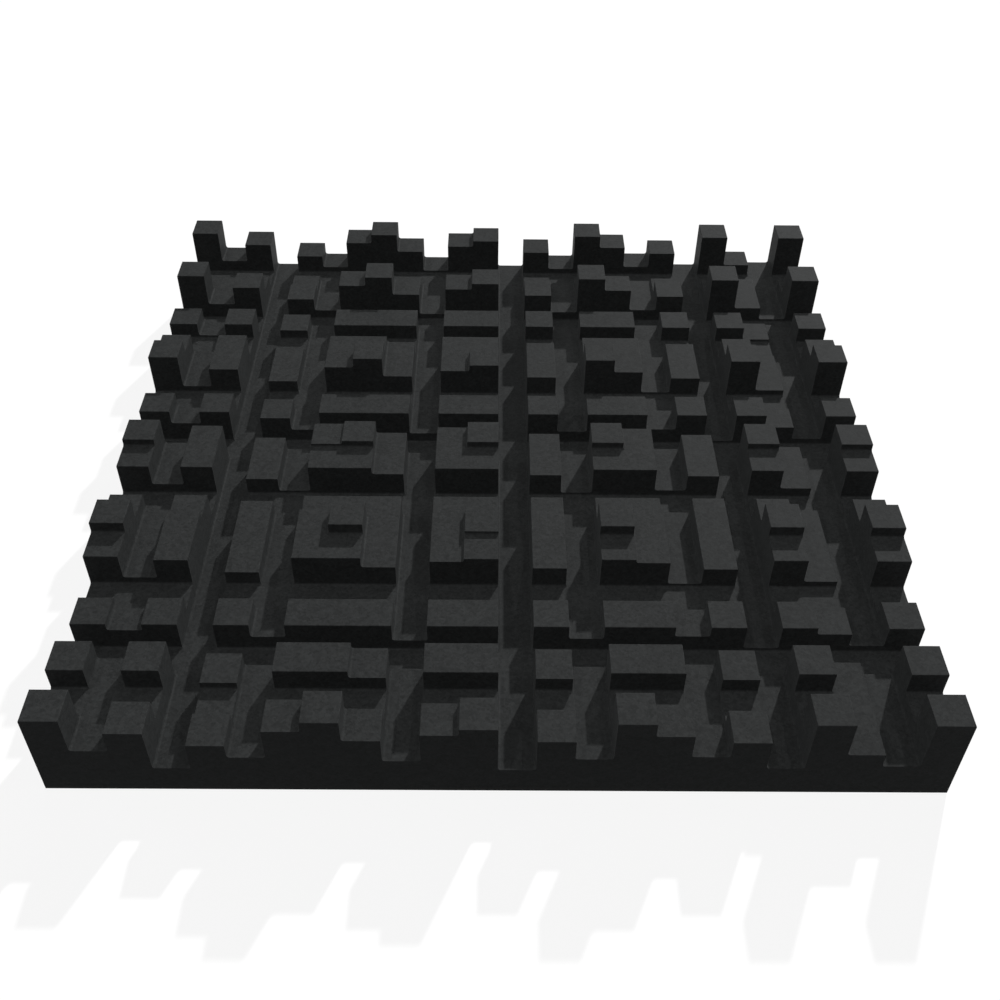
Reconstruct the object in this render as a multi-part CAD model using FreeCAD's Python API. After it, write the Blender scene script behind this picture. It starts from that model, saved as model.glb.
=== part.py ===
# Acoustic diffuser panel: one block of dark expanded polystyrene, cut to shape.
#
# The block lies on its flat back, face up. Its face is cut twice by the same
# stepped line: once swept along the depth, once swept along the width. What both
# cuts leave is a field of square pillars and wells, each as high as the lower of
# its column's step and its row's step. The deepest steps run through as straight
# channels from edge to edge.
#
# Units are millimetres. +X runs across the front edge, +Y to the back edge, +Z up
# out of the face. The origin is the centre of the flat back.

import FreeCAD
import Part
import os

# Driving dimensions
panel_width = 595.0
panel_depth = 595.0
base_thickness = 24.0
step_height = 3.1

# How many steps each well stands above the base, from the left edge to the right
# edge and from the front edge to the back edge.
step_sequence = [
    16, 6, 12, 0, 8, 4, 13, 16, 10, 3, 12, 14,
    0, 10, 4, 16, 12, 5, 10, 1, 16, 6, 2, 16,
]

well_count = len(step_sequence)


def step_top(steps):
    """The height of a step above the flat back."""
    return base_thickness + steps * step_height


def profile_points(span):
    """The stepped line across a span, as distance and height, with the flat back."""
    pitch = span / well_count
    start = -span / 2
    points = [(start, 0.0)]
    for index, steps in enumerate(step_sequence):
        top = step_top(steps)
        points.append((start + index * pitch, top))
        points.append((start + (index + 1) * pitch, top))
    points.append((start + span, 0.0))
    return points


def cut_along_depth():
    """The block after the first cut: the stepped line swept from front to back."""
    front = -panel_depth / 2
    corners = [FreeCAD.Vector(x, front, z) for x, z in profile_points(panel_width)]
    outline = Part.Face(Part.makePolygon(corners + corners[:1]))
    return outline.extrude(FreeCAD.Vector(0, panel_depth, 0))


def cut_along_width():
    """The block after the second cut alone: the same line swept from left to right."""
    left = -panel_width / 2
    corners = [FreeCAD.Vector(left, y, z) for y, z in profile_points(panel_depth)]
    outline = Part.Face(Part.makePolygon(corners + corners[:1]))
    return outline.extrude(FreeCAD.Vector(panel_width, 0, 0))


def diffuser_block():
    """What both cuts leave of the block, as one solid."""
    block = cut_along_depth().common(cut_along_width()).removeSplitter()
    return block.Solids[0]


os.makedirs("parts", exist_ok=True)
block = diffuser_block()
block.exportStep("parts/diffuser_block.step")
print("volume in litres", round(block.Volume / 1e6, 3), "faces", len(block.Faces))
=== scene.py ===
import math

import bmesh
import bpy
from mathutils import Euler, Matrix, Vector


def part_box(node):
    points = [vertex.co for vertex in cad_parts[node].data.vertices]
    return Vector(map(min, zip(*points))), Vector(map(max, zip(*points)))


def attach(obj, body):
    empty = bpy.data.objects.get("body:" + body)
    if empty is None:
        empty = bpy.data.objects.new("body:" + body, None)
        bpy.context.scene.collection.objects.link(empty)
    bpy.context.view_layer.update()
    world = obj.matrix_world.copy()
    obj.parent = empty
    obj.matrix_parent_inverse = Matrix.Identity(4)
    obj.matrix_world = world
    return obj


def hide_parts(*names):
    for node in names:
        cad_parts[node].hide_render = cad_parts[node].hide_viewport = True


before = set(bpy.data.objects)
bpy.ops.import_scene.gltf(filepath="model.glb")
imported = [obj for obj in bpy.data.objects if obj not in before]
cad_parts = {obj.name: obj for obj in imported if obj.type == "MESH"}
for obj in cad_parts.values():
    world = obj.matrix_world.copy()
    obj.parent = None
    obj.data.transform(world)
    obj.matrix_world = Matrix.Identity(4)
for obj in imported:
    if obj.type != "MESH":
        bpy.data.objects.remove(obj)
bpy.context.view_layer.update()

bpy.ops.object.select_all(action="DESELECT")

# Camera
# It stands in front of the panel and above it, a little left of its middle, and looks
# down across the face through a normal lens.

sensor_width = 36.0
lens_length = 43.338
camera_place = (-0.0057, -0.7426, 0.6949)
camera_turn = (48.217, -0.564, -0.033)
frame_shift = (0.0004, -0.0448)

bpy.ops.object.camera_add(location=camera_place)
camera = bpy.context.object
camera.name = "camera"
camera.rotation_euler = Euler([math.radians(turn) for turn in camera_turn])
camera.data.sensor_width = sensor_width
camera.data.lens = lens_length
camera.data.shift_x, camera.data.shift_y = frame_shift
bpy.context.scene.camera = camera
bpy.context.scene.view_settings.view_transform = "Standard"

# Lamps
# A small strong lamp stands behind the panel and a little to its right, low enough for
# the pillars to throw their shadows forward. Wide soft ones fill in from all four sides,
# so soft that they throw no shadows of their own.

key_direction = Vector((0.685, 1.577, 1.0))
key_strength = 3.42
key_width = 1.6
fill_width = 40.0
left_direction = Vector((-1.0, 0.0, 0.6))
left_strength = 1.48
right_direction = Vector((1.0, 0.0, 0.6))
right_strength = 1.38
front_direction = Vector((0.0, -1.0, 0.7))
front_strength = 0.46
back_direction = Vector((0.0, 1.0, 0.5))
back_strength = 0.25


def add_lamp(name, direction, strength, width, shadows):
    """A lamp far away in one direction, as wide in the sky as the angle in degrees."""
    bpy.ops.object.light_add(type="SUN", location=direction.normalized())
    lamp = bpy.context.object
    lamp.name = name
    lamp.rotation_euler = direction.to_track_quat("Z", "Y").to_euler()
    lamp.data.energy = strength
    lamp.data.angle = math.radians(width)
    lamp.data.use_shadow = shadows


add_lamp("key_lamp", key_direction, key_strength, key_width, shadows=True)
add_lamp("left_fill", left_direction, left_strength, fill_width, shadows=False)
add_lamp("right_fill", right_direction, right_strength, fill_width, shadows=False)
add_lamp("front_fill", front_direction, front_strength, fill_width, shadows=False)
add_lamp("back_fill", back_direction, back_strength, fill_width, shadows=False)

# Room and floor
# An even white room and a plain white floor under the panel. Seen directly both are pure
# white, and the floor keeps a light trace of the panel's shadow.

room_strength = 0.02
floor_side = 12.0
floor_colour = (0.05, 0.05, 0.05, 1)
shadow_depth = 0.2
full_strength = 1.0
white = (1, 1, 1, 1)


class Reading:
    """A socket in a material, to reckon with: each sum or product adds its own node."""

    def __init__(self, tree, socket=None):
        self.tree = tree
        self.socket = socket

    def node(self, kind, settings=None, inputs=None, output=0):
        """A new node of one type, with its settings made first and then its inputs."""
        made = self.tree.nodes.new(kind)
        for name, value in (settings or {}).items():
            setattr(made, name, value)
        for name, value in (inputs or {}).items():
            if isinstance(value, Reading):
                self.tree.links.new(value.socket, made.inputs[name])
            else:
                made.inputs[name].default_value = value
        return Reading(self.tree, made.outputs[output]) if made.outputs else None

    def maths(self, operation, *values):
        """One Math node on sockets or plain numbers."""
        return self.node("ShaderNodeMath", {"operation": operation}, dict(enumerate(values)))

    def __add__(self, other):
        return self.maths("ADD", self, other)

    def __radd__(self, other):
        return self.maths("ADD", other, self)

    def __mul__(self, other):
        return self.maths("MULTIPLY", self, other)

    def __rmul__(self, other):
        return self.maths("MULTIPLY", other, self)


def emptied(owner):
    """The node tree of a material or a world, with nothing in it."""
    owner.use_nodes = True
    owner.node_tree.nodes.clear()
    return Reading(owner.node_tree)


def seen_directly(shade):
    """1 for rays from the camera, off a gloss or through glass, and 0 for all others."""
    camera_ray = shade.node("ShaderNodeLightPath", output="Is Camera Ray")
    glossy_ray = shade.node("ShaderNodeLightPath", output="Is Glossy Ray")
    glass_ray = shade.node("ShaderNodeLightPath", output="Is Transmission Ray")
    return camera_ray + glossy_ray + glass_ray


room = bpy.data.worlds.new("room")
bpy.context.scene.world = room
shade = emptied(room)
light = shade.node("ShaderNodeBackground", inputs={"Color": white, "Strength": room_strength})
backdrop = shade.node("ShaderNodeBackground", inputs={"Color": white, "Strength": full_strength})
sky = shade.node("ShaderNodeMixShader", inputs={0: seen_directly(shade), 1: light, 2: backdrop})
shade.node("ShaderNodeOutputWorld", inputs={"Surface": sky})

bpy.ops.mesh.primitive_plane_add(size=floor_side)
floor = bpy.context.object
floor.name = "floor"
floor_finish = bpy.data.materials.new("floor_finish")
shade = emptied(floor_finish)
paint = shade.node("ShaderNodeBsdfDiffuse", inputs={"Color": floor_colour})
shadowed = shade.node("ShaderNodeBsdfDiffuse", inputs={"Color": white})
glow = shade.node("ShaderNodeEmission", inputs={"Color": white, "Strength": full_strength})
shown = shade.node("ShaderNodeMixShader", inputs={0: shadow_depth, 1: glow, 2: shadowed})
surface = shade.node("ShaderNodeMixShader", inputs={0: seen_directly(shade), 1: paint, 2: shown})
shade.node("ShaderNodeOutputMaterial", inputs={"Surface": surface})
floor.data.materials.append(floor_finish)

# Foam block
# The whole panel is one block of charcoal expanded polystyrene. A hot wire cuts its face
# twice along the same stepped line, first one way and then across, which leaves pillars
# and wells with sharp outer edges and a small round at the foot of every wall.

base_thickness = 0.024
# How many steps above the base the wire runs, row by row from one edge to the other.
step_sequence = [
    16, 6, 12, 0, 8, 4, 13, 16, 10, 3, 12, 14,
    0, 10, 4, 16, 12, 5, 10, 1, 16, 6, 2, 16,
]
foot_round = 0.002
edge_round = 0.0005
round_faces = 3

low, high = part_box("diffuser_block")
side = high.x - low.x
cells = len(step_sequence)
cell = side / cells
top_step = max(step_sequence)
step_height = (high.z - low.z - base_thickness) / top_step
level_play = step_height / 10

# Each cut starts and ends a little past the block.
overrun = cell / 2

corner_turn = math.radians(60)
straight_turn = math.radians(1)
smooth_turn = math.radians(35)
merge_distance = 0.00001


def select_tops(sheet, height, steps):
    """Selects the flat faces at one height where the cut face rises at least so many steps."""
    for face in sheet.faces:
        centre = face.calc_center_median()
        level = abs(centre.z - height) < level_play
        flat = abs(face.normal.z) > abs(face.normal.x)
        column = min(int((centre.x - low.x) / cell), cells - 1)
        face.select_set(level and flat and step_sequence[column] >= steps)
    sheet.select_flush_mode()


def round_cuts(mesh, width, hollow):
    """Rounds the edges along the cut, either those at the feet of walls or the outer ones."""
    sheet = bmesh.from_edit_mesh(mesh)
    for edge in sheet.edges:
        along = abs(edge.verts[0].co.y - edge.verts[1].co.y) > side
        turn = edge.calc_face_angle_signed(0)
        edge.select_set(along and abs(turn) > corner_turn and (turn < 0) == hollow)
    sheet.select_flush_mode()
    bpy.ops.mesh.bevel(offset=width, segments=round_faces, affect="EDGES")


# The first cut, along the depth
bpy.ops.mesh.primitive_grid_add(x_subdivisions=cells, y_subdivisions=1, size=side)
block = bpy.context.object
block.name = "foam_block"
bpy.ops.object.mode_set(mode="EDIT")
bpy.ops.mesh.select_mode(type="FACE")
bpy.ops.mesh.select_all(action="SELECT")
bpy.ops.transform.resize(value=(1, 1 + 2 * overrun / side, 1))
bpy.ops.mesh.extrude_region_move(TRANSFORM_OT_translate={"value": (0, 0, base_thickness)})
for steps in range(1, top_step + 1):
    height = base_thickness + (steps - 1) * step_height
    select_tops(bmesh.from_edit_mesh(block.data), height, steps)
    bpy.ops.mesh.extrude_region_move(TRANSFORM_OT_translate={"value": (0, 0, step_height)})
bpy.ops.mesh.select_all(action="SELECT")
bpy.ops.mesh.normals_make_consistent(inside=False)
bpy.ops.mesh.dissolve_limited(angle_limit=straight_turn)
bpy.ops.mesh.select_mode(type="EDGE")
round_cuts(block.data, foot_round, hollow=True)
round_cuts(block.data, edge_round, hollow=False)
bpy.ops.object.mode_set(mode="OBJECT")

# The same cut again, across the first
bpy.ops.object.duplicate()
crosswise = bpy.context.object
crosswise.rotation_euler.z = math.radians(90)
bpy.ops.object.transform_apply(location=False, rotation=True, scale=False)
bpy.ops.object.select_all(action="DESELECT")
bpy.context.view_layer.objects.active = block
block.select_set(True)
second_cut = block.modifiers.new("second_cut", "BOOLEAN")
second_cut.operation = "INTERSECT"
second_cut.object = crosswise
bpy.ops.object.modifier_apply(modifier=second_cut.name)
bpy.data.objects.remove(crosswise)
bpy.ops.object.mode_set(mode="EDIT")
bpy.ops.mesh.select_all(action="SELECT")
bpy.ops.mesh.remove_doubles(threshold=merge_distance)
bpy.ops.object.mode_set(mode="OBJECT")

bpy.ops.object.shade_smooth_by_angle(angle=smooth_turn)
flats = block.modifiers.new("flats", "WEIGHTED_NORMAL")
flats.keep_sharp = True
bpy.ops.object.modifier_apply(modifier=flats.name)

# Pressed beads with a fine grain on the cut, a little dust and a slow drift of tone
bead_size = 0.0034
grain_size = 0.0016
dust_fineness = 1600.0
dust_detail = 2.0
drift_fineness = 14.0
drift_detail = 3.0
dark = (0.0128, 0.0134, 0.01345, 1)
pale = (0.0374, 0.0393, 0.0395, 1)
grain_share = 0.34
bead_share = 0.2
dust_share = 0.28
drift_share = 0.18
grain_rise = 0.5
dust_rise = 0.5
seam_rise = 0.3
least_roughness = 0.56
roughness_spread = 0.08
gloss = 0.019
relief_depth = 0.0003
relief_strength = 0.5

foam = bpy.data.materials.new("charcoal_foam")
shade = emptied(foam)
place = shade.node("ShaderNodeTexCoord", output="Object")
bead_cells = {"Vector": place, "Scale": 1 / bead_size}
grain_cells = {"Vector": place, "Scale": 1 / grain_size}
bead_shade = shade.node("ShaderNodeTexVoronoi", inputs=bead_cells, output="Color")
bead_tone = shade.node("ShaderNodeSeparateColor", inputs={"Color": bead_shade}, output="Red")
seam = shade.node("ShaderNodeTexVoronoi", {"feature": "DISTANCE_TO_EDGE"}, bead_cells)
grain_shade = shade.node("ShaderNodeTexVoronoi", inputs=grain_cells, output="Color")
grain_tone = shade.node("ShaderNodeSeparateColor", inputs={"Color": grain_shade}, output="Red")
dust_spots = {"Vector": place, "Scale": dust_fineness, "Detail": dust_detail}
dust = shade.node("ShaderNodeTexNoise", inputs=dust_spots)
drift_clouds = {"Vector": place, "Scale": drift_fineness, "Detail": drift_detail}
drift = shade.node("ShaderNodeTexNoise", inputs=drift_clouds)
cut_tone = grain_tone * grain_share + bead_tone * bead_share
tone = cut_tone + dust * dust_share + drift * drift_share
colour = shade.node(
    "ShaderNodeMix", {"data_type": "RGBA"}, {0: tone, 6: dark, 7: pale}, output=2
)
relief = grain_tone * grain_rise + dust * dust_rise + seam * seam_rise
roughness = least_roughness + grain_tone * roughness_spread
bumps = {"Strength": relief_strength, "Distance": relief_depth, "Height": relief}
bump = shade.node("ShaderNodeBump", inputs=bumps)
cut_foam = {
    "Base Color": colour,
    "Roughness": roughness,
    "Specular IOR Level": gloss,
    "Normal": bump,
}
surface = shade.node("ShaderNodeBsdfPrincipled", inputs=cut_foam)
shade.node("ShaderNodeOutputMaterial", inputs={"Surface": surface})
block.data.materials.append(foam)

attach(block, "root")
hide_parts("diffuser_block")
